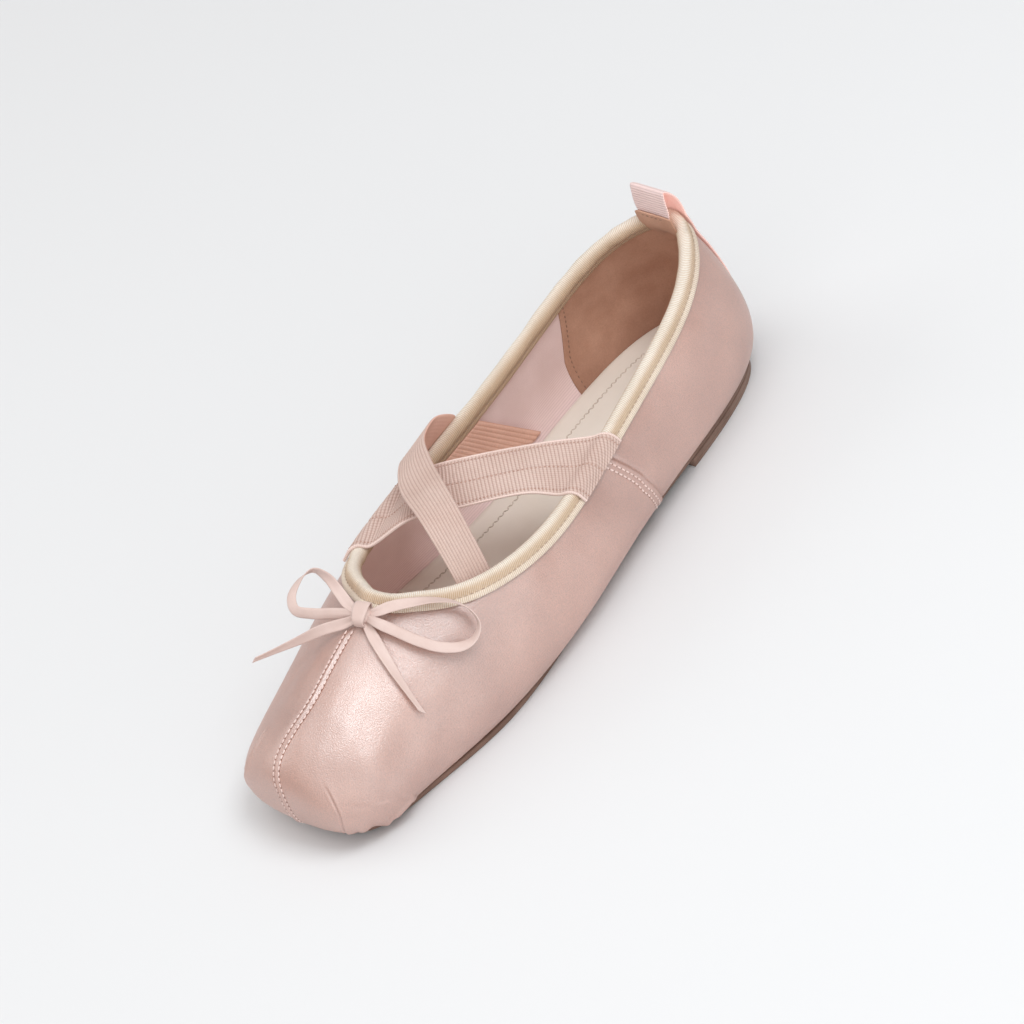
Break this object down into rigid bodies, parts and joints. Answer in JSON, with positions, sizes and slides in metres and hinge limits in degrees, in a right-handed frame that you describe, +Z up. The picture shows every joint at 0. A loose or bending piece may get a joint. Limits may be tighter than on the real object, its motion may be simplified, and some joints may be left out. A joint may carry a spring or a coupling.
{
  "type": "mary jane ballet flat",
  "caption": "Soft square-toe ballet flat with a thin sole, low heel, elastic-bound collar, crossed elastic straps, ribbon bow and heel pull tab; left shoe.",
  "frame": {"origin": "centre of the bounding box on the floor", "axes": "+X from heel to toe, +Y to the wearer's left, +Z up from the floor"},
  "size_m": [0.2498, 0.0834, 0.0804],
  "materials": {
    "sole": "thin matt brown outsole",
    "heel": "matt brown heel lift",
    "insole": "soft pale footbed with a stitched line",
    "satin": "smooth pink satin with a soft sheen",
    "binding": "cream ribbed elastic",
    "elastic": "pink ribbed elastic",
    "ribbon": "narrow pale pink ribbon"
  },
  "bodies": {
    "root": {"outsole": "sole", "heel_lift": "heel", "insole": "insole", "upper": "satin", "collar_binding": "binding", "strap_over": "elastic", "strap_under": "elastic", "strap_tail": "elastic", "pull_tab": "ribbon", "bow_knot": "ribbon", "bow_loop_left": "ribbon", "bow_loop_right": "ribbon", "bow_tail_left": "ribbon", "bow_tail_right": "ribbon"}
  },
  "joints": []
}
